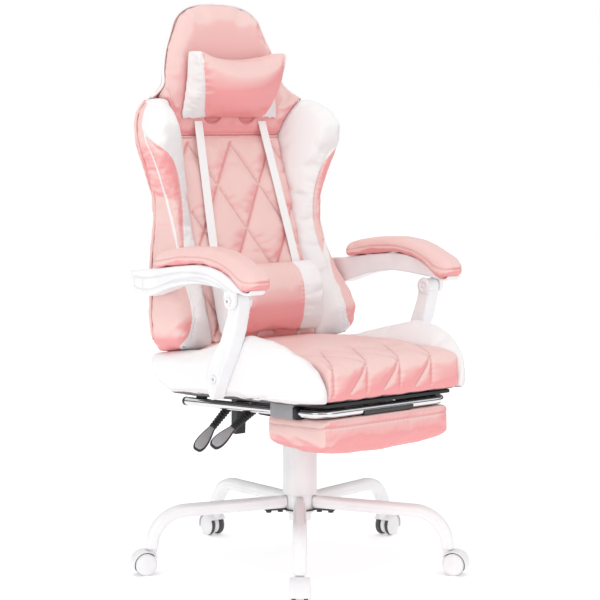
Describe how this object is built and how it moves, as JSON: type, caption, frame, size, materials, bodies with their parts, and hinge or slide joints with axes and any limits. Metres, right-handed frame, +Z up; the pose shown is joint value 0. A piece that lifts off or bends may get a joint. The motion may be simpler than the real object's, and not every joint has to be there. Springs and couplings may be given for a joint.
{
  "type": "gaming chair",
  "caption": "Bucket-seat gaming chair on a caster base, with a reclining winged back, linked padded armrests, lumbar and neck cushions, and a pull-out footrest.",
  "frame": {"origin": "on the floor under the centre of the bounding box", "axes": "+Z up; the sitter faces -Y, so the sitter's right side is -X; the swivel axis stands at X -8 mm, Y -22 mm"},
  "size_m": [0.7493, 0.7306, 1.262],
  "materials": {
    "pink_leather": "soft pink synthetic leather, fine grain, low sheen",
    "white_leather": "white synthetic leather, fine grain, low sheen",
    "white_metal": "gloss white powder coat",
    "white_plastic": "white moulded nylon, satin to gloss",
    "caster_wheel": "white wheel discs with a dark grey tread",
    "black_metal": "black powder coat",
    "steel": "plain turned steel",
    "black_plastic": "black moulded plastic",
    "grey_plastic": "grey moulded plastic",
    "board": "plywood board, stained dark underneath",
    "chrome": "polished chrome plating"
  },
  "bodies": {
    "base": {"base_hub": "white_metal", "base_leg_1": "white_metal", "base_leg_2": "white_metal", "base_leg_3": "white_metal", "base_leg_4": "white_metal", "base_leg_5": "white_metal", "leg_bolts": "black_metal", "lift_cylinder": "black_metal", "cover_lower": "white_plastic"},
    "caster_1": {"caster_hood_1": "white_plastic"},
    "wheels_1": {"caster_wheels_1": "caster_wheel"},
    "caster_2": {"caster_hood_2": "white_plastic"},
    "wheels_2": {"caster_wheels_2": "caster_wheel"},
    "caster_3": {"caster_hood_3": "white_plastic"},
    "wheels_3": {"caster_wheels_3": "caster_wheel"},
    "caster_4": {"caster_hood_4": "white_plastic"},
    "wheels_4": {"caster_wheels_4": "caster_wheel"},
    "caster_5": {"caster_hood_5": "white_plastic"},
    "wheels_5": {"caster_wheels_5": "caster_wheel"},
    "sleeve": {"cover_middle": "white_plastic"},
    "lift": {"lift_piston": "steel", "cover_upper": "white_plastic"},
    "seat": {"mechanism_plate": "black_metal", "lever_bracket": "black_metal", "seat_board": "board", "seat_pad": "pink_leather", "seat_side_right": "white_leather", "seat_side_left": "white_leather", "rail_sleeve_right": "grey_plastic", "rail_sleeve_left": "grey_plastic", "rail_guide_right": "black_plastic", "rail_guide_left": "black_plastic", "recline_bracket": "black_metal", "lower_pivot_right": "steel", "lower_pivot_left": "steel"},
    "height_lever": {"height_lever_grip": "black_plastic", "height_lever_paddle": "grey_plastic"},
    "recline_lever": {"recline_lever_grip": "black_plastic", "recline_lever_paddle": "grey_plastic"},
    "back": {"back_frame": "steel", "back_centre_pad": "pink_leather", "back_head_pad": "pink_leather", "back_bolster_right": "white_leather", "back_bolster_left": "white_leather", "back_shell": "pink_leather", "back_strap_right": "white_leather", "back_strap_left": "white_leather"},
    "post_right": {"arm_post_right": "white_plastic"},
    "arm_right": {"arm_frame_right": "white_plastic", "arm_pad_right": "pink_leather", "upper_pivot_right": "steel"},
    "post_left": {"arm_post_left": "white_plastic"},
    "arm_left": {"arm_frame_left": "white_plastic", "arm_pad_left": "pink_leather", "upper_pivot_left": "steel"},
    "footrest": {"footrest_frame": "chrome"},
    "footrest_flap": {"footrest_pad": "pink_leather", "footrest_hinge": "black_metal"},
    "lumbar": {"lumbar_cushion": "pink_leather"},
    "pillow": {"head_pillow": "pink_leather"}
  },
  "joints": [
    {"name": "caster_swivel_1", "type": "hinge", "parent": "base", "child": "caster_1", "pos_m": [-0.2285, -0.28081, 0.057], "axis": [0, 0, 1], "continuous": true},
    {"name": "caster_spin_1", "type": "hinge", "parent": "caster_1", "child": "wheels_1", "pos_m": [-0.24017, -0.29451, 0.025], "axis": [0.7612, -0.6485, 0], "continuous": true},
    {"name": "caster_swivel_2", "type": "hinge", "parent": "base", "child": "caster_2", "pos_m": [0.17, -0.31168, 0.057], "axis": [0, 0, 1], "continuous": true},
    {"name": "caster_spin_2", "type": "hinge", "parent": "caster_2", "child": "wheels_2", "pos_m": [0.17943, -0.32702, 0.025], "axis": [0.852, 0.5235, 0], "continuous": true},
    {"name": "caster_swivel_3", "type": "hinge", "parent": "base", "child": "caster_3", "pos_m": [0.32251, 0.05778, 0.057], "axis": [0, 0, 1], "continuous": true},
    {"name": "caster_spin_3", "type": "hinge", "parent": "caster_3", "child": "wheels_3", "pos_m": [0.34001, 0.062, 0.025], "axis": [-0.2346, 0.9721, 0], "continuous": true},
    {"name": "caster_swivel_4", "type": "hinge", "parent": "base", "child": "caster_4", "pos_m": [0.01826, 0.31698, 0.057], "axis": [0, 0, 1], "continuous": true},
    {"name": "caster_spin_4", "type": "hinge", "parent": "caster_4", "child": "wheels_4", "pos_m": [0.01965, 0.33493, 0.025], "axis": [-0.997, 0.0772, 0], "continuous": true},
    {"name": "caster_swivel_5", "type": "hinge", "parent": "base", "child": "caster_5", "pos_m": [-0.32228, 0.10773, 0.057], "axis": [0, 0, 1], "continuous": true},
    {"name": "caster_spin_5", "type": "hinge", "parent": "caster_5", "child": "wheels_5", "pos_m": [-0.33892, 0.1146, 0.025], "axis": [-0.3816, -0.9243, 0], "continuous": true},
    {"name": "lift_slide", "type": "slide", "parent": "base", "child": "lift", "axis": [0, 0, 1], "range_m": [0, 0.085]},
    {"name": "sleeve_slide", "type": "slide", "parent": "base", "child": "sleeve", "axis": [0, 0, 1], "range_m": [0, 0.0425]},
    {"name": "seat_swivel", "type": "hinge", "parent": "lift", "child": "seat", "pos_m": [-0.008, -0.022, 0.37], "axis": [0, 0, 1], "continuous": true},
    {"name": "height_lever_pull", "type": "hinge", "parent": "seat", "child": "height_lever", "pos_m": [-0.06, -0.032, 0.364], "axis": [0, 1, 0], "range_deg": [0, 4], "stiffness_Nm_per_rad": 8, "springref_deg": -5.73},
    {"name": "recline_lever_pull", "type": "hinge", "parent": "seat", "child": "recline_lever", "pos_m": [-0.06, 0.068, 0.364], "axis": [0, 1, 0], "range_deg": [0, 8], "stiffness_Nm_per_rad": 8, "springref_deg": -5.73},
    {"name": "back_recline", "type": "hinge", "parent": "seat", "child": "back", "pos_m": [-0.008, 0.2, 0.474], "axis": [-1, 0, 0], "range_deg": [0, 40]},
    {"name": "post_turn_right", "type": "hinge", "parent": "seat", "child": "post_right", "pos_m": [-0.282, -0.082, 0.449], "axis": [-1, 0, 0], "range_deg": [0, 36]},
    {"name": "arm_turn_right", "type": "hinge", "parent": "post_right", "child": "arm_right", "pos_m": [-0.291, -0.152, 0.62], "axis": [-1, 0, 0], "range_deg": [-30, 0]},
    {"name": "post_turn_left", "type": "hinge", "parent": "seat", "child": "post_left", "pos_m": [0.266, -0.082, 0.449], "axis": [-1, 0, 0], "range_deg": [0, 36]},
    {"name": "arm_turn_left", "type": "hinge", "parent": "post_left", "child": "arm_left", "pos_m": [0.275, -0.152, 0.62], "axis": [-1, 0, 0], "range_deg": [-30, 0]},
    {"name": "footrest_slide", "type": "slide", "parent": "seat", "child": "footrest", "axis": [0, -0.9988, 0.0499], "range_m": [0, 0.26]},
    {"name": "footrest_flip", "type": "hinge", "parent": "footrest", "child": "footrest_flap", "pos_m": [-0.008, -0.303, 0.38805], "axis": [-1, 0, 0], "range_deg": [0, 180]},
    {"name": "lumbar_height", "type": "slide", "parent": "back", "child": "lumbar", "axis": [0, 0.2501, 0.9682], "range_m": [0, 0.06]},
    {"name": "pillow_height", "type": "slide", "parent": "back", "child": "pillow", "axis": [0, 0.05, 0.9987], "range_m": [0, 0.03]}
  ],
  "couplings": [
    {"joint": "sleeve_slide", "follows": "lift_slide", "ratio": 0.5},
    {"joint": "post_turn_right", "follows": "back_recline", "ratio": 0.885},
    {"joint": "arm_turn_right", "follows": "back_recline", "ratio": -0.725},
    {"joint": "post_turn_left", "follows": "back_recline", "ratio": 0.885},
    {"joint": "arm_turn_left", "follows": "back_recline", "ratio": -0.725},
    {"joint": "footrest_flip", "follows": "footrest_slide", "rad_per_m": 12.082}
  ]
}
